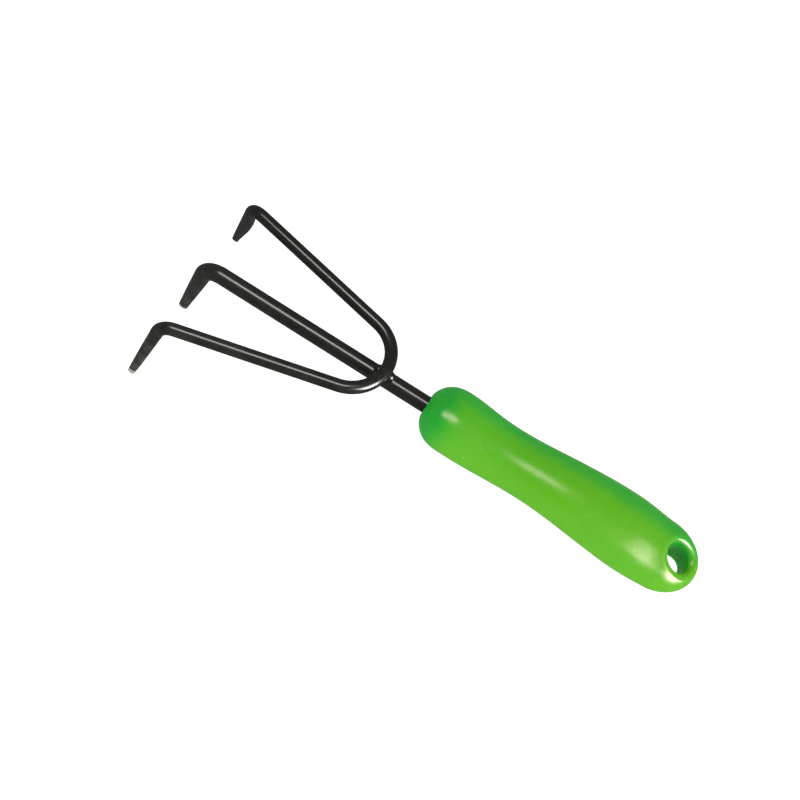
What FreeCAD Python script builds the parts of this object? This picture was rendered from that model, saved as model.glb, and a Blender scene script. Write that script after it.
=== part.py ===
"""Hand cultivator: a moulded handle on a steel shaft with three bent tines.

Frame: origin at the centre of the hang hole, on the shaft's centreline. +X runs along the
shaft towards the tines, +Y to the tool's left, +Z up, away from the tine points. Millimetres.
"""
import FreeCAD, Part
import math
import os

from FreeCAD import Vector

# Shaft with the centre tine: one 8 mm steel rod
SHAFT_DIAMETER = 8.0
CENTRE_BEND_X = 245.7          # where the shaft's and the tine's centrelines meet
CENTRE_BEND_RADIUS = 9.5
CENTRE_TIP_THICKNESS = 4.4

# Side tines: one 6 mm steel rod bent to a hoop that crosses over the shaft
HOOP_DIAMETER = 6.0
HOOP_CROSSING_X = 153.5        # the hoop's centreline over the shaft
HOOP_RADIUS = 19.0
HOOP_SLOPE = 2.8               # degrees, the arms run down towards the tines
ARM_ANGLE = 13.7               # degrees, each arm to the centre plane
ARM_REACH = 91.8               # crossing to the side bends, along the hoop's plane
SIDE_BEND_RADIUS = 7.5
SIDE_TIP_THICKNESS = 3.4
WELD_ROOT_GAP = 0.05           # between the two rods where they cross

# All tines
TINE_DROP = 42.5               # height from the bend's corner to the point
TINE_LEAN = 10.5               # degrees forwards
SIDE_TINE_SPLAY = 9.4          # degrees outwards
TIP_BEVEL = 0.6                # on the front and rear edges of the point

# Weld beads in the two corners between hoop and shaft
BEAD_RADIUS = 2.6
BEAD_OFFSET = 2.7              # from the crossing, along the shaft

# Handle
MOUTH_X = 130.3                # the front face, where the shaft goes in
NOSE_START_X = 115.8           # the front rounding starts here
NOSE_LENGTH = 15.1
NOSE_POWER = 2.3               # a little fuller than an ellipse
TAIL_START_X = 7.8             # the rear rounding starts here
TAIL_LENGTH = 20.2
TAIL_END_SIZE = 0.06           # the last section, as a share of the one at the rounding's start
# Sections between the roundings: place along X, half width, half height, height of the centre
SECTIONS = [
    (TAIL_START_X, 17.2, 12.1, -2.7),
    (20.0, 18.0, 13.3, -1.8),
    (34.0, 17.7, 13.5, -0.5),
    (50.0, 16.4, 13.0, 0.4),
    (66.0, 15.0, 12.1, 0.4),
    (81.0, 14.3, 11.8, -0.7),
    (98.0, 14.8, 12.6, -1.3),
    (NOSE_START_X, 15.7, 13.2, 0.0),
]
ROUNDING_STEPS = 7             # sections in each end rounding

# Hang hole through the handle's tail
HOLE_DIAMETER = 12.6
TOP_RIM_RADIUS = 2.8
BOTTOM_RIM_RADIUS = 1.2
RIM_TOLERANCE = 0.05           # how far a rim's points may lie from the hole's radius

# Tang: the end of the shaft inside the handle, with ears swaged from the rod to hold it
TANG_END_X = 55.0
EAR_X = 65.0
EAR_SIZE = (9.0, 11.0, 3.0)    # along X, Y and Z
EAR_CORNER_RADIUS = 1.0

BEYOND = 400.0                 # a length that clears the whole tool, for cutting shapes

X = Vector(1, 0, 0)
Y = Vector(0, 1, 0)
Z = Vector(0, 0, 1)


def unit(vector):
    return vector * (1.0 / vector.Length)


def disc(centre, normal, radius):
    return Part.Face(Part.Wire(Part.makeCircle(radius, centre, normal)))


def bent_rod(corners, bend_radii, diameter):
    """A round rod along straight runs, joined at the inner corners by tangent arcs."""
    radius = diameter / 2.0
    pieces = []
    start = corners[0]
    for index, bend_radius in enumerate(bend_radii, start=1):
        corner = corners[index]
        before = unit(corner - corners[index - 1])
        after = unit(corners[index + 1] - corner)
        turn = before.getAngle(after)
        tangent_length = bend_radius * math.tan(turn / 2.0)
        bend_start = corner - before * tangent_length
        axis = unit(before.cross(after))
        bend_centre = bend_start + axis.cross(before) * bend_radius
        pieces.append(disc(start, before, radius).extrude(bend_start - start))
        pieces.append(disc(bend_start, before, radius).revolve(bend_centre, axis, math.degrees(turn)))
        start = corner + after * tangent_length
    last_run = corners[-1] - start
    pieces.append(disc(start, unit(last_run), radius).extrude(last_run))
    return pieces[0].fuse(pieces[1:]).removeSplitter()


def flatten_tine(rod, corner, tip, diameter, bend_radius, tip_thickness):
    """Forge the tine into a wedge: flat in front and behind, thinnest at the bevelled point."""
    along = unit(tip - corner)
    across = unit(X - along * X.dot(along))
    sideways = along.cross(across)
    radius = diameter / 2.0
    start = corner + along * bend_radius
    taper = (radius - tip_thickness / 2.0) / (tip - start).Length
    bevel_start = tip - along * TIP_BEVEL
    bevel_thickness = tip_thickness / 2.0 + taper * TIP_BEVEL
    beyond = tip + along * radius
    for side in (1, -1):
        outline = [
            start + across * (side * radius),
            bevel_start + across * (side * bevel_thickness),
            tip + across * (side * (bevel_thickness - TIP_BEVEL)),
            beyond + across * (side * (bevel_thickness - TIP_BEVEL)),
            beyond + across * (side * diameter),
            start + across * (side * diameter),
        ]
        wire = Part.makePolygon([point - sideways * diameter for point in outline + outline[:1]])
        rod = rod.cut(Part.Face(wire).extrude(sideways * (2.0 * diameter)))
    return rod


def tine_tip(corner, splay):
    reach = TINE_DROP * math.tan(math.radians(TINE_LEAN))
    return corner + Vector(reach, TINE_DROP * math.tan(math.radians(splay)), -TINE_DROP)


def make_ears():
    length, width, height = EAR_SIZE
    ears = Part.makeBox(length, width, height, Vector(EAR_X, -width / 2.0, -height / 2.0))
    return ears.makeFillet(EAR_CORNER_RADIUS, [edge for edge in ears.Edges if edge.Length == height])


def make_centre_tine():
    corner = Vector(CENTRE_BEND_X, 0, 0)
    tip = tine_tip(corner, 0.0)
    rod = bent_rod([Vector(TANG_END_X, 0, 0), corner, tip], [CENTRE_BEND_RADIUS], SHAFT_DIAMETER)
    rod = flatten_tine(rod, corner, tip, SHAFT_DIAMETER, CENTRE_BEND_RADIUS, CENTRE_TIP_THICKNESS)
    return rod.fuse(make_ears()).removeSplitter()


def hoop_height():
    """Height of the hoop's centreline where it crosses the shaft."""
    return (SHAFT_DIAMETER + HOOP_DIAMETER) / 2.0 + WELD_ROOT_GAP


def hoop_point(reach, sideways):
    """A point of the hoop's sloping plane, reach being measured from the crossing."""
    slope = math.radians(HOOP_SLOPE)
    height = hoop_height() - reach * math.sin(slope)
    return Vector(HOOP_CROSSING_X + reach * math.cos(slope), sideways, height)


def make_side_tines():
    arm_angle = math.radians(ARM_ANGLE)
    arms_meet = HOOP_RADIUS - HOOP_RADIUS / math.sin(arm_angle)
    half_spread = (ARM_REACH - arms_meet) * math.tan(arm_angle)
    left_corner = hoop_point(ARM_REACH, half_spread)
    right_corner = hoop_point(ARM_REACH, -half_spread)
    left_tip = tine_tip(left_corner, SIDE_TINE_SPLAY)
    right_tip = tine_tip(right_corner, -SIDE_TINE_SPLAY)
    corners = [left_tip, left_corner, hoop_point(arms_meet, 0.0), right_corner, right_tip]
    rod = bent_rod(corners, [SIDE_BEND_RADIUS, HOOP_RADIUS, SIDE_BEND_RADIUS], HOOP_DIAMETER)
    rod = flatten_tine(rod, left_corner, left_tip, HOOP_DIAMETER, SIDE_BEND_RADIUS, SIDE_TIP_THICKNESS)
    left_side = Part.makeBox(BEYOND, BEYOND, BEYOND, Vector(0, 0, -BEYOND / 2.0))
    left_half = rod.common(left_side)
    return left_half.fuse(left_half.mirror(Vector(0, 0, 0), Y)).removeSplitter()


def make_weld_bead(side, rods):
    """The bead in one corner of the crossing: side is 1 towards the tines, -1 towards the handle."""
    centre = Vector(HOOP_CROSSING_X + side * BEAD_OFFSET, 0, SHAFT_DIAMETER / 2.0)
    bead = Part.makeSphere(BEAD_RADIUS, centre)
    for rod in rods:
        bead = bead.cut(rod)
    return max(bead.Solids, key=lambda solid: solid.Volume)


def rounding(share, power):
    """Size of a section, as a share of the full one, part of the way into an end rounding."""
    return (1.0 - share ** power) ** (1.0 / power)


def rounding_sections(start_section, length, power, end_size):
    """Sections of an end rounding, evenly spaced in angle, outwards from its first section."""
    x, half_width, half_height, height = start_section
    last_angle = math.acos(end_size)
    sections = []
    for step in range(1, ROUNDING_STEPS + 1):
        share = math.sin(last_angle * step / ROUNDING_STEPS)
        size = rounding(share, power)
        sections.append((x + length * share, half_width * size, half_height * size, height))
    return sections


def section_wire(section):
    x, half_width, half_height, height = section
    centre = Vector(x, 0, height)
    ellipse = Part.Ellipse(centre + Y * half_width, centre + Z * half_height, centre)
    return Part.Wire(ellipse.toShape())


def make_handle_body():
    mouth_share = (MOUTH_X - NOSE_START_X) / NOSE_LENGTH
    mouth_size = math.sqrt(1.0 - mouth_share ** 2)
    tail = rounding_sections(SECTIONS[0], -TAIL_LENGTH, 2.0, TAIL_END_SIZE)
    nose = rounding_sections(SECTIONS[-1], NOSE_LENGTH, NOSE_POWER, mouth_size)
    sections = tail[::-1] + SECTIONS + nose
    return Part.makeLoft([section_wire(section) for section in sections], True, False)


def is_hole_rim(edge, side):
    """Whether an edge runs all the way round the hang hole, on top (side 1) or below (side -1)."""
    reach = [math.hypot(vertex.x, vertex.y) for vertex in edge.discretize(9)]
    on_hole = max(abs(distance - HOLE_DIAMETER / 2.0) for distance in reach) < RIM_TOLERANCE
    box = edge.BoundBox
    return on_hole and box.XLength > HOLE_DIAMETER / 2.0 and side * box.Center.z > 0


def make_handle(centre_tine):
    hole = Part.makeCylinder(HOLE_DIAMETER / 2.0, BEYOND, Vector(0, 0, -BEYOND / 2.0), Z)
    body = make_handle_body().cut(hole)
    for side, radius in ((1, TOP_RIM_RADIUS), (-1, BOTTOM_RIM_RADIUS)):
        body = body.makeFillet(radius, [edge for edge in body.Edges if is_hole_rim(edge, side)])
    return body.cut(centre_tine)


def main():
    centre_tine = make_centre_tine()
    side_tines = make_side_tines()
    nodes = {
        "handle": make_handle(centre_tine),
        "centre_tine": centre_tine,
        "side_tines": side_tines,
        "front_weld_bead": make_weld_bead(1, [centre_tine, side_tines]),
        "rear_weld_bead": make_weld_bead(-1, [centre_tine, side_tines]),
    }
    os.makedirs("parts", exist_ok=True)
    for name, shape in nodes.items():
        if len(shape.Solids) != 1 or not shape.isValid():
            raise ValueError(name + " is not one valid solid")
        shape.Solids[0].exportStep("parts/" + name + ".step")
        box = shape.BoundBox
        print(name, round(shape.Volume), "mm3", [round(v, 1) for v in (
            box.XMin, box.XMax, box.YMin, box.YMax, box.ZMin, box.ZMax)])


main()
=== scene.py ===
"""Looks of the hand cultivator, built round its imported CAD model. Metres, in the CAD frame:
origin at the hang hole, +X along the shaft to the tines, +Y to the tool's left, +Z up."""

import math

import bmesh
import bpy
from mathutils import Matrix, Vector


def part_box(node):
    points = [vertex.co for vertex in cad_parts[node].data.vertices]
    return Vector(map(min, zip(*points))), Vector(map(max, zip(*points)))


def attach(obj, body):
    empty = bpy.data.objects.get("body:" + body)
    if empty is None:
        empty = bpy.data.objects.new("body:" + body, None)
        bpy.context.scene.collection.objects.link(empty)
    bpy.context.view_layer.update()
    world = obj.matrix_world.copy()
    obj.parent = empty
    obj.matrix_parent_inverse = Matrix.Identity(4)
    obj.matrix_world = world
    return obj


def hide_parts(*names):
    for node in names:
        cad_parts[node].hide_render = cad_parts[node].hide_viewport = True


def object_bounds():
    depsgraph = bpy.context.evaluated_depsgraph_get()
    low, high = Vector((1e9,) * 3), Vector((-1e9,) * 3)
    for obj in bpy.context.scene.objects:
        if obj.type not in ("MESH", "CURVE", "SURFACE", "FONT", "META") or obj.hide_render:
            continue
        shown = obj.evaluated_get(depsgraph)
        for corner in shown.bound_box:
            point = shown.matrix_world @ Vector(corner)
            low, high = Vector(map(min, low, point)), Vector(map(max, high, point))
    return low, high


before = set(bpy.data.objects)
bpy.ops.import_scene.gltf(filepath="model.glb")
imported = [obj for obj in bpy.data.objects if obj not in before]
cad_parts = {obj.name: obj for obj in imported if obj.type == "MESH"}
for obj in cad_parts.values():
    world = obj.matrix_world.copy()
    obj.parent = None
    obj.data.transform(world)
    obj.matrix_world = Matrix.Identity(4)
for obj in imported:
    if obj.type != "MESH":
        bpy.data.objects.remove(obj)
CAD_LOW, CAD_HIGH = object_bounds()

MM = 0.001
X_AXIS = Vector((1, 0, 0))
Y_AXIS = Vector((0, 1, 0))

# Camera
CAMERA_PLACE = Vector((139.75, 234.71, 447.54)) * MM
CAMERA_AIM = Vector((141.34, 4.21, -1.66)) * MM
CAMERA_ROLL = math.radians(32.15)
CAMERA_LENS = 50.9

# Rods, as in the CAD model
SHAFT_DIAMETER = 8.0 * MM
HOOP_DIAMETER = 6.0 * MM
CENTRE_BEND_X = 245.7 * MM
CENTRE_BEND_RADIUS = 9.5 * MM
CENTRE_TIP_THICKNESS = 4.4 * MM
HOOP_CROSSING_X = 153.5 * MM
HOOP_RADIUS = 19.0 * MM
HOOP_SLOPE = math.radians(2.8)
HOOP_HEIGHT = 7.05 * MM
ARM_ANGLE = math.radians(13.7)
ARM_REACH = 91.8 * MM
SIDE_BEND_RADIUS = 7.5 * MM
SIDE_TIP_THICKNESS = 3.4 * MM
TINE_DROP = 42.5 * MM
TINE_LEAN = math.radians(10.5)
SIDE_TINE_SPLAY = math.radians(9.4)

# Marks of the forging
FORGED_EDGE = 0.45 * MM        # rounding between a flat and the round sides
FORGED_SPREAD = 0.03           # how much wider the point gets, as a share of the rod
RIGHT_SWELL = 1.2 * MM         # metal left on the rear of the right tine, half-way down
TIP_ROUNDING = 0.9 * MM        # of the rim round each rod's end face

# Wear of the paint, and a painted highlight on the left point
BARE_AND_LIT_LENGTH = 4.2 * MM         # rubbed to the steel, and painted bright as a highlight where the point catches the light, over about this much of the left point
DUST_LENGTH = 26.0 * MM        # dulled by soil over about this much
LEFT_WEAR_AND_LIGHT = 1.0                 # how worn and dull each tine is, beside the left one, and how much painted highlight its point gets
CENTRE_WEAR_AND_LIGHT = 0.6
RIGHT_WEAR_AND_LIGHT = 0.05

# Colours
BRIGHT_GREEN = (0.118, 0.490, 0.010, 1)
# the handle's green is mixed towards this for painted shade and for random mottles
SHADE_AND_MOTTLE_GREEN = (0.010, 0.440, 0.030, 1)
HANDLE_GLOSS = (1.0, 0.72, 0.66, 1)
HANDLE_SHEEN = (0.85, 1.0, 0.75, 1)
PAINT_BLACK = (0.0060, 0.0055, 0.0030, 1)
PAINT_DUSTY = (0.120, 0.122, 0.100, 1)
BRIGHT_STEEL = (0.80, 0.79, 0.70, 1)
DULL_STEEL = (0.42, 0.41, 0.36, 1)
FLOOR_GREY = (0.52, 0.52, 0.52, 1)
FLOOR_PALE_GREY = (0.56, 0.56, 0.56, 1)
WHITE = (1, 1, 1, 1)

# Where painted shade deepens the handle's green, and where it is taken back off the right edge: from
# and to, along one axis or out from the hang hole's axis
NOSE_SHADE_ZONE = (111.0 * MM, 126.0 * MM)
RIGHT_SHADE_ZONE = (0.0, -9.0 * MM)
RIGHT_EDGE_LIGHT_ZONE = (-11.0 * MM, -16.0 * MM)
HOLE_SHADE_ZONE = (7.6 * MM, 6.2 * MM)

# Mesh detail
RING_POINTS = 64
ARC_STEP = math.radians(3.0)
RUN_STEP = 1.5 * MM
CAP_STEPS = 5
HANDLE_VOXEL = 0.55 * MM
HANDLE_SMOOTHING = 14
BEAD_VOXEL = 0.16 * MM
BEAD_SMOOTHING = 6

# Studio floor, flat in the middle and swept up all round it
FLOOR_SIZE = 6.0
FLOOR_CELLS = 60
FLAT_RADIUS = 1.1
SWEEP = 0.45                   # rise beyond the flat, in metres for each square metre
FLOOR_GLOW = 0.85
WORLD_GLOW = 0.12


# ---------------------------------------------------------------- materials

class Nodes:
    """A material and short ways to add nodes to it. Every texture is read in object space."""

    def __init__(self, name):
        self.material = bpy.data.materials.new(name)
        self.material.use_nodes = True
        self.tree = self.material.node_tree
        self.shader = self.tree.nodes["Principled BSDF"]
        self.place = self.tree.nodes.new("ShaderNodeTexCoord").outputs["Object"]

    def fill(self, node_input, value):
        if isinstance(value, bpy.types.NodeSocket):
            self.tree.links.new(value, node_input)
        else:
            node_input.default_value = value

    def set(self, name, value):
        self.fill(self.shader.inputs[name], value)

    def noise(self, scale, detail=2.0, roughness=0.5, stretch=(1.0, 1.0, 1.0)):
        """Cloudy noise, longer along an axis whose stretch is under 1."""
        mapping = self.tree.nodes.new("ShaderNodeMapping")
        mapping.inputs["Scale"].default_value = stretch
        self.fill(mapping.inputs["Vector"], self.place)
        texture = self.tree.nodes.new("ShaderNodeTexNoise")
        texture.inputs["Scale"].default_value = scale
        texture.inputs["Detail"].default_value = detail
        texture.inputs["Roughness"].default_value = roughness
        self.fill(texture.inputs["Vector"], mapping.outputs["Vector"])
        return texture.outputs["Fac"]

    def axis(self, name):
        split = self.tree.nodes.new("ShaderNodeSeparateXYZ")
        self.fill(split.inputs[0], self.place)
        return split.outputs[name]

    def distance_from_z_axis(self):
        """How far a place is from the hang hole's axis."""
        flatten = self.tree.nodes.new("ShaderNodeVectorMath")
        flatten.operation = "MULTIPLY"
        self.fill(flatten.inputs[0], self.place)
        flatten.inputs[1].default_value = (1, 1, 0)
        length = self.tree.nodes.new("ShaderNodeVectorMath")
        length.operation = "LENGTH"
        self.fill(length.inputs[0], flatten.outputs["Vector"])
        return length.outputs["Value"]

    def attribute(self, name):
        node = self.tree.nodes.new("ShaderNodeAttribute")
        node.attribute_name = name
        return node.outputs["Fac"]

    def ramp(self, value, start, end, low=0.0, high=1.0):
        """Smoothly from low to high while value goes from start to end."""
        node = self.tree.nodes.new("ShaderNodeMapRange")
        node.interpolation_type = "SMOOTHSTEP"
        for name, number in (("Value", value), ("From Min", start), ("From Max", end),
                             ("To Min", low), ("To Max", high)):
            self.fill(node.inputs[name], number)
        return node.outputs["Result"]

    def maths(self, operation, first, second, clamp=False):
        node = self.tree.nodes.new("ShaderNodeMath")
        node.operation = operation
        node.use_clamp = clamp
        self.fill(node.inputs[0], first)
        self.fill(node.inputs[1], second)
        return node.outputs[0]

    def mix(self, share, first, second):
        """A mix of two colours."""
        node = self.tree.nodes.new("ShaderNodeMix")
        node.data_type = "RGBA"
        self.fill(node.inputs["Factor"], share)
        colour_inputs = [slot for slot in node.inputs if slot.type == "RGBA"]
        for slot, colour in zip(colour_inputs, (first, second)):
            self.fill(slot, colour)
        return next(slot for slot in node.outputs if slot.type == "RGBA")

    def bump(self, height, distance, strength, under=None):
        node = self.tree.nodes.new("ShaderNodeBump")
        node.inputs["Distance"].default_value = distance
        node.inputs["Strength"].default_value = strength
        self.fill(node.inputs["Height"], height)
        if under is not None:
            self.fill(node.inputs["Normal"], under)
        return node.outputs["Normal"]


def handle_plastic():
    """Glossy moulded plastic: a clear green with random deeper mottles, and painted shade that
    deepens it at the nose, on the right side and in the hang hole.
    """
    nodes = Nodes("handle_plastic")
    # Painted shade: the green is deepened on the right side (and lightened back at its very edge), at
    # the nose and inside the hang hole
    across = nodes.axis("Y")
    right_edge_light = nodes.ramp(across, *RIGHT_EDGE_LIGHT_ZONE, high=0.35)
    right_shade = nodes.maths("SUBTRACT", nodes.ramp(across, *RIGHT_SHADE_ZONE, high=0.65), right_edge_light)
    nose_shade = nodes.ramp(nodes.axis("X"), *NOSE_SHADE_ZONE, high=0.9)
    flow = nodes.ramp(nodes.noise(34.0, detail=3.0, stretch=(0.4, 1.0, 1.0)), 0.35, 0.7, -0.1, 0.25)
    hole_shade = nodes.ramp(nodes.distance_from_z_axis(), *HOLE_SHADE_ZONE, high=0.95)
    # depth is the painted shade with the random mottles added on top
    depth = nodes.maths("MAXIMUM", nodes.maths("MAXIMUM", right_shade, nose_shade), hole_shade)
    depth = nodes.maths("ADD", depth, flow, clamp=True)
    nodes.set("Base Color", nodes.mix(depth, BRIGHT_GREEN, SHADE_AND_MOTTLE_GREEN))
    handling = nodes.noise(260.0, detail=5.0, roughness=0.6)
    nodes.set("Roughness", nodes.ramp(handling, 0.3, 0.75, 0.21, 0.29))
    ripple = nodes.bump(nodes.noise(110.0, detail=1.0), 0.06 * MM, 0.35)
    nodes.set("Normal", nodes.bump(nodes.noise(2600.0), 0.004 * MM, 0.2, under=ripple))
    nodes.set("IOR", 1.6)
    nodes.set("Specular IOR Level", 0.75)
    nodes.set("Specular Tint", HANDLE_GLOSS)
    nodes.set("Sheen Weight", 0.30)
    nodes.set("Sheen Roughness", 0.25)
    nodes.set("Sheen Tint", HANDLE_SHEEN)
    nodes.set("Subsurface Weight", 0.10)
    nodes.set("Subsurface Radius", (0.3, 1.0, 0.25))
    nodes.set("Subsurface Scale", 3.0 * MM)
    return nodes.material


def tine_paint():
    """Black satin paint over steel, dulled down the tines and rubbed off their points, with the
    bright steel also painted as a highlight where the left point catches the light.
    """
    nodes = Nodes("tine_paint")
    chips = nodes.maths("MULTIPLY", nodes.noise(800.0, detail=6.0, roughness=0.6), 0.5)
    # The bare steel is partly rubbed paint and partly a painted highlight where the left point
    # catches the light
    bare_and_lit = nodes.ramp(nodes.maths("ADD", nodes.attribute("bare_and_lit"), chips), 0.72, 0.86)
    patches = nodes.ramp(nodes.noise(150.0, detail=4.0), 0.2, 0.8)
    dust = nodes.maths("MULTIPLY", nodes.attribute("dust"), patches)
    paint = nodes.mix(dust, PAINT_BLACK, PAINT_DUSTY)
    scratches = nodes.noise(600.0, detail=3.0, stretch=(1.0, 1.0, 0.25))
    steel = nodes.mix(scratches, BRIGHT_STEEL, DULL_STEEL)
    nodes.set("Base Color", nodes.mix(bare_and_lit, paint, steel))
    nodes.set("Metallic", nodes.maths("MULTIPLY", bare_and_lit, 0.3))
    gloss = nodes.ramp(nodes.noise(420.0, detail=4.0), 0.3, 0.7, 0.19, 0.26)
    worn = nodes.maths("MAXIMUM", bare_and_lit, nodes.attribute("dust"))
    nodes.set("Roughness", nodes.maths("ADD", gloss, nodes.maths("MULTIPLY", worn, 0.12)))
    peel = nodes.bump(nodes.noise(520.0), 0.02 * MM, 0.12)
    paint_thickness = nodes.maths("SUBTRACT", 1.0, bare_and_lit)
    nodes.set("Normal", nodes.bump(paint_thickness, 0.06 * MM, 0.8, under=peel))
    nodes.set("IOR", 1.6)
    nodes.set("Specular IOR Level", 0.9)
    return nodes.material


def floor_finish():
    """A pale matt floor with a trace of tooth and a glow that thins the shadows."""
    nodes = Nodes("pale_floor")
    tone = nodes.ramp(nodes.noise(14.0, detail=3.0), 0.3, 0.7)
    nodes.set("Base Color", nodes.mix(tone, FLOOR_GREY, FLOOR_PALE_GREY))
    nodes.set("Roughness", 0.9)
    nodes.set("Normal", nodes.bump(nodes.noise(900.0), 0.05 * MM, 0.2))
    nodes.set("Emission Color", WHITE)
    nodes.set("Emission Strength", FLOOR_GLOW)
    return nodes.material


# ---------------------------------------------------------------- rods

def soft_minimum(value, limit, blend):
    """The smaller of two lengths, with the corner between them rounded off."""
    share = max(0.0, min(1.0, 0.5 + 0.5 * (limit - value) / blend))
    return value * share + limit * (1 - share) - blend * share * (1 - share)


class Tine:
    """The forged end of a rod: flat in front and behind, and thinnest at its point."""

    def __init__(self, corner, tip, diameter, bend_radius, tip_thickness, wear_and_light, swell):
        self.along = (tip - corner).normalized()
        self.across = (X_AXIS - self.along * X_AXIS.dot(self.along)).normalized()
        self.start = corner + self.along * bend_radius
        self.length = (tip - self.start).length
        self.tip = tip
        self.full = diameter / 2
        self.tip_half = tip_thickness / 2
        self.wear_and_light = wear_and_light
        self.swell = swell

    def forge(self, point, offset):
        """Where the hammer leaves a point of the round rod's ring, measured from its centre."""
        reach = min(1.0, (point - self.start).dot(self.along) / self.length)
        if reach <= 0:
            return offset
        half = self.full + (self.tip_half - self.full) * reach
        depth = offset.dot(self.across)
        width = offset - self.across * depth
        thickness = abs(depth)
        if depth < 0:
            swell = self.swell * math.sin(math.pi * reach ** 0.8) ** 2
            half += swell
            thickness *= 1 + swell / self.full
        pressed = soft_minimum(thickness, half, FORGED_EDGE)
        return width * (1 + FORGED_SPREAD * reach) + self.across * math.copysign(pressed, depth)

    def wear(self, place):
        """How bare (rubbed steel, and a painted highlight on the left point) and how dusty the paint
        is at a place on the tine.
        """
        back = max(0.0, (self.tip - place).dot(self.along))
        side = (place - self.tip).dot(Y_AXIS) / self.full
        # Painted highlight: the bare steel is made stronger on the point's left side, where its facet
        # catches the light
        bare_and_lit = math.exp(-(back / (BARE_AND_LIT_LENGTH * self.wear_and_light)) ** 2) * (0.8 + 0.25 * side)
        return bare_and_lit, self.wear_and_light * math.exp(-back / DUST_LENGTH)


def rod_path(corners, bend_radii):
    """Points and directions along straight runs joined at the inner corners by tangent arcs."""
    points = []
    directions = []
    start = corners[0]

    def add_run(end):
        count = max(2, round((end - start).length / RUN_STEP))
        for step in range(count):
            points.append(start.lerp(end, step / count))
            directions.append((end - start).normalized())

    for index, bend_radius in enumerate(bend_radii, start=1):
        corner = corners[index]
        before = (corner - corners[index - 1]).normalized()
        after = (corners[index + 1] - corner).normalized()
        turn = before.angle(after)
        tangent_length = bend_radius * math.tan(turn / 2)
        bend_start = corner - before * tangent_length
        add_run(bend_start)
        axis = before.cross(after).normalized()
        centre = bend_start + axis.cross(before) * bend_radius
        steps = math.ceil(turn / ARC_STEP)
        for step in range(steps):
            spin = Matrix.Rotation(turn * step / steps, 3, axis)
            points.append(centre + spin @ (bend_start - centre))
            directions.append(spin @ before)
        start = corner + after * tangent_length
    add_run(corners[-1])
    return points, directions


def ring_at(point, direction, side, radius, tines, inset=0.0):
    """One ring of the rod's skin round a point of its path, drawn in by inset."""
    other = direction.cross(side)
    tine = min(tines, key=lambda each: (point - each.tip).length)
    ring = []
    for index in range(RING_POINTS):
        angle = 2 * math.pi * index / RING_POINTS
        offset = tine.forge(point, (side * math.cos(angle) + other * math.sin(angle)) * radius)
        ring.append(point + offset * (1 - inset / offset.length))
    return ring


def cap_rings(end, outwards, direction, side, radius, tines):
    """Rings over a rod's rounded rim and in to the middle of its end face."""
    rings = []
    for step in range(CAP_STEPS + 1):
        angle = math.pi / 2 * step / CAP_STEPS
        place = end - outwards * (TIP_ROUNDING * (1 - math.sin(angle)))
        inset = TIP_ROUNDING * (1 - math.cos(angle))
        rings.append(ring_at(place, direction, side, radius, tines, inset))
    rim = rings[-1]
    middle = sum(rim, Vector()) / RING_POINTS
    for step in range(1, CAP_STEPS):
        rings.append([corner.lerp(middle, step / CAP_STEPS) for corner in rim])
    return rings, middle


def skin(name, rings, first_middle, last_middle):
    """A closed, smooth object over rings of points, with a middle point at each end."""
    mesh = bmesh.new()
    loops = [[mesh.verts.new(place) for place in ring] for ring in rings]
    pairs = [(index, (index + 1) % RING_POINTS) for index in range(RING_POINTS)]
    for ring, following in zip(loops, loops[1:]):
        for index, after in pairs:
            mesh.faces.new((ring[index], ring[after], following[after], following[index]))
    for ring, middle in ((loops[0], first_middle), (loops[-1], last_middle)):
        centre = mesh.verts.new(middle)
        for index, after in pairs:
            mesh.faces.new((ring[index], ring[after], centre))
    bmesh.ops.recalc_face_normals(mesh, faces=mesh.faces)
    data = bpy.data.meshes.new(name)
    mesh.to_mesh(data)
    mesh.free()
    data.shade_smooth()
    return link_object(name, data)


def link_object(name, data):
    piece = bpy.data.objects.new(name, data)
    bpy.context.scene.collection.objects.link(piece)
    return piece


def swept_rod(name, corners, bend_radii, diameter, tines):
    """A bent rod with forged tines at its ends, and the paint's wear and the painted highlight of its
    points stored on its vertices.
    """
    points, directions = rod_path(corners, bend_radii)
    radius = diameter / 2
    side = directions[0].orthogonal().normalized()
    first_end = (corners[0], -directions[0], directions[0], side)
    first_rings, first_middle = cap_rings(*first_end, radius, tines)
    rings = first_rings[::-1]
    for point, direction in zip(points, directions):
        side = (side - direction * side.dot(direction)).normalized()
        if (point - corners[0]).length > TIP_ROUNDING:
            rings.append(ring_at(point, direction, side, radius, tines))
    last_end = (corners[-1], directions[-1], directions[-1], side)
    last_rings, last_middle = cap_rings(*last_end, radius, tines)
    piece = skin(name, rings + last_rings, first_middle, last_middle)
    for wear in ("bare_and_lit", "dust"):
        piece.data.attributes.new(wear, "FLOAT", "POINT")
    bare_and_lit = piece.data.attributes["bare_and_lit"].data
    dust = piece.data.attributes["dust"].data
    for vertex in piece.data.vertices:
        tine = min(tines, key=lambda each: (vertex.co - each.tip).length)
        bare_and_lit[vertex.index].value, dust[vertex.index].value = tine.wear(vertex.co)
    return piece


def tine_tip(corner, splay):
    """The middle of a tine's point, below its bend's corner and splayed outwards."""
    return corner + Vector((math.tan(TINE_LEAN), math.tan(splay), -1)) * TINE_DROP


def make_centre_tine():
    tang_end = Vector((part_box("centre_tine")[0][0], 0, 0))
    corner = Vector((CENTRE_BEND_X, 0, 0))
    tip = tine_tip(corner, 0.0)
    shape = (corner, tip, SHAFT_DIAMETER, CENTRE_BEND_RADIUS, CENTRE_TIP_THICKNESS)
    tine = Tine(*shape, CENTRE_WEAR_AND_LIGHT, swell=0.0)
    corners = [tang_end, corner, tip]
    return swept_rod("centre_tine_skin", corners, [CENTRE_BEND_RADIUS], SHAFT_DIAMETER, [tine])


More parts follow.
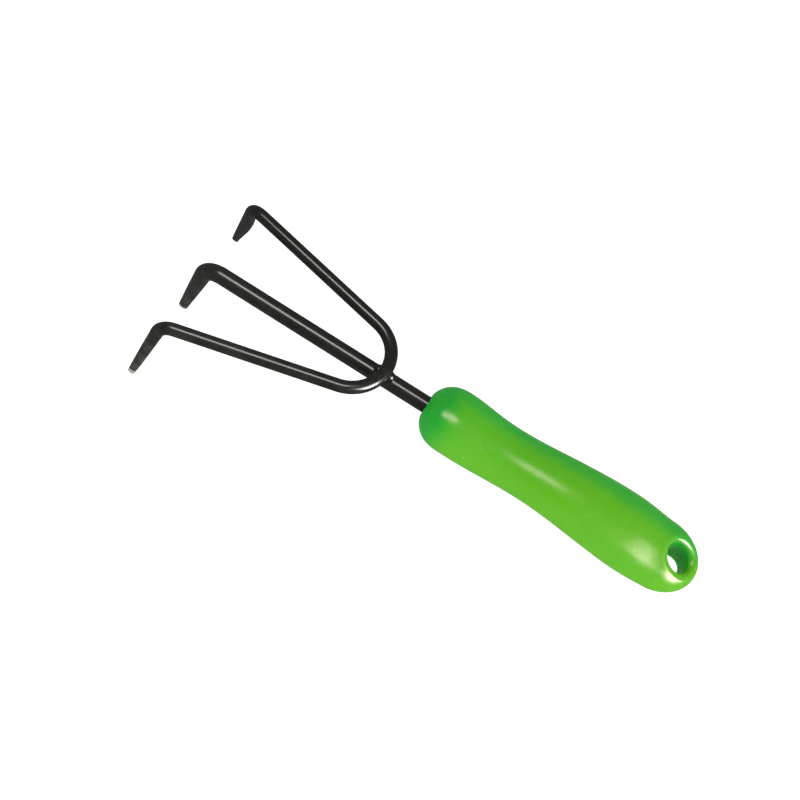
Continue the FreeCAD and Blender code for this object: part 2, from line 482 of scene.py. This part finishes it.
def hoop_point(reach, sideways):
    """A point of the hoop's sloping plane, reach being measured from the crossing."""
    height = HOOP_HEIGHT - reach * math.sin(HOOP_SLOPE)
    return Vector((HOOP_CROSSING_X + reach * math.cos(HOOP_SLOPE), sideways, height))


def make_side_tines():
    """Both side tines and the hoop between them, bent from one rod."""
    arms_meet = HOOP_RADIUS - HOOP_RADIUS / math.sin(ARM_ANGLE)
    half_spread = (ARM_REACH - arms_meet) * math.tan(ARM_ANGLE)
    tines = []
    for side, wear_and_light, swell in ((1, LEFT_WEAR_AND_LIGHT, 0.0), (-1, RIGHT_WEAR_AND_LIGHT, RIGHT_SWELL)):
        corner = hoop_point(ARM_REACH, side * half_spread)
        tip = tine_tip(corner, side * SIDE_TINE_SPLAY)
        shape = (corner, tip, HOOP_DIAMETER, SIDE_BEND_RADIUS, SIDE_TIP_THICKNESS)
        tines.append(Tine(*shape, wear_and_light, swell))
    bend_places = ((ARM_REACH, half_spread), (arms_meet, 0.0), (ARM_REACH, -half_spread))
    bends = [hoop_point(reach, sideways) for reach, sideways in bend_places]
    corners = [tines[0].tip] + bends + [tines[1].tip]
    bend_radii = [SIDE_BEND_RADIUS, HOOP_RADIUS, SIDE_BEND_RADIUS]
    return swept_rod("side_tines_skin", corners, bend_radii, HOOP_DIAMETER, tines)


# ---------------------------------------------------------------- skins over CAD solids

def smooth_skin(node, voxel, smoothing):
    """An even, smooth skin over a CAD solid, with its sharp edges rounded as moulding leaves them."""
    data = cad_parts[node].data.copy()
    data.name = node + "_skin"
    data.materials.clear()
    piece = link_object(node + "_skin", data)
    remesh = piece.modifiers.new("even", "REMESH")
    remesh.mode = "VOXEL"
    remesh.voxel_size = voxel
    smooth = piece.modifiers.new("smooth", "SMOOTH")
    smooth.iterations = smoothing
    bpy.context.view_layer.objects.active = piece
    for modifier in ("even", "smooth"):
        bpy.ops.object.modifier_apply(modifier=modifier)
    piece.data.shade_smooth()
    return piece


def place_piece(piece, node, material):
    """Give a piece its finish, and let it stand for a CAD node."""
    piece.data.materials.append(material)
    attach(piece, "root")
    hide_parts(node)


def make_tool():
    handle = smooth_skin("handle", HANDLE_VOXEL, HANDLE_SMOOTHING)
    place_piece(handle, "handle", handle_plastic())
    painted = {"centre_tine": make_centre_tine(), "side_tines": make_side_tines()}
    for node in ("front_weld_bead", "rear_weld_bead"):
        painted[node] = smooth_skin(node, BEAD_VOXEL, BEAD_SMOOTHING)
    paint = tine_paint()
    for node, piece in painted.items():
        place_piece(piece, node, paint)


# ---------------------------------------------------------------- studio

def make_floor():
    """A floor that slopes a little, so that the tool lies on its middle point and its handle."""
    tip_x = CENTRE_BEND_X + TINE_DROP * math.tan(TINE_LEAN)
    tip_z = CAD_LOW[2]
    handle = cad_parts["handle"].data.vertices
    slope = min((vertex.co.z - tip_z) / (tip_x - vertex.co.x) for vertex in handle)
    mesh = bmesh.new()
    bmesh.ops.create_grid(mesh, x_segments=FLOOR_CELLS, y_segments=FLOOR_CELLS, size=FLOOR_SIZE / 2)
    for vertex in mesh.verts:
        vertex.co.z = SWEEP * max(0.0, vertex.co.length - FLAT_RADIUS) ** 2
    data = bpy.data.meshes.new("floor")
    mesh.to_mesh(data)
    mesh.free()
    data.shade_smooth()
    data.materials.append(floor_finish())
    floor = link_object("floor", data)
    floor.location = (tip_x, 0, tip_z)
    floor.rotation_euler = (0, math.atan(slope), 0)
    floor.visible_glossy = False


def facing(place, target, sideways):
    """A placement at place that looks at target, with its own X axis along sideways."""
    back = (place - target).normalized()
    right = (sideways - back * sideways.dot(back)).normalized()
    turn = Matrix((right, back.cross(right), back)).transposed()
    return Matrix.Translation(place) @ turn.to_4x4()


def make_camera():
    camera = link_object("camera", bpy.data.cameras.new("camera"))
    back = (CAMERA_PLACE - CAMERA_AIM).normalized()
    roll = Matrix.Rotation(CAMERA_ROLL, 3, back)
    camera.matrix_world = facing(CAMERA_PLACE, CAMERA_AIM, roll @ -X_AXIS)
    camera.data.lens = CAMERA_LENS
    camera.data.clip_start = 10 * MM
    bpy.context.scene.camera = camera


def softbox(name, place, target, sideways, size, radiance, diffuse=True):
    """A rectangular lamp of a given brightness, its first side along sideways."""
    width, height = size
    data = bpy.data.lights.new(name, "AREA")
    data.shape = "RECTANGLE"
    data.size = width
    data.size_y = height
    data.energy = radiance * math.pi * width * height
    lamp = link_object(name, data)
    lamp.matrix_world = facing(Vector(place), Vector(target), sideways)
    lamp.visible_diffuse = diffuse


def make_lights():
    """A strip over the shaft, and a soft lamp behind the tail with a core that only gloss shows."""
    shaft_middle = (0.20, 0.0, 0.0)
    tail = (0.01, 0.0, 0.0)
    softbox("strip", place=(0.29, 0.07, 0.60), target=shaft_middle, sideways=X_AXIS,
            size=(0.44, 0.18), radiance=5.2)
    softbox("rear", place=(-0.44, 0.19, 0.38), target=tail, sideways=Y_AXIS,
            size=(0.52, 0.44), radiance=3.0)
    softbox("rear_core", place=(-0.48, 0.17, 0.27), target=tail, sideways=Y_AXIS,
            size=(0.34, 0.34), radiance=15.0, diffuse=False)


def make_world():
    world = bpy.data.worlds.new("studio")
    world.use_nodes = True
    background = world.node_tree.nodes["Background"]
    background.inputs["Color"].default_value = WHITE
    background.inputs["Strength"].default_value = WORLD_GLOW
    bpy.context.scene.world = world
    bpy.context.scene.view_settings.view_transform = "Standard"


make_camera()
make_tool()
make_floor()
make_lights()
make_world()
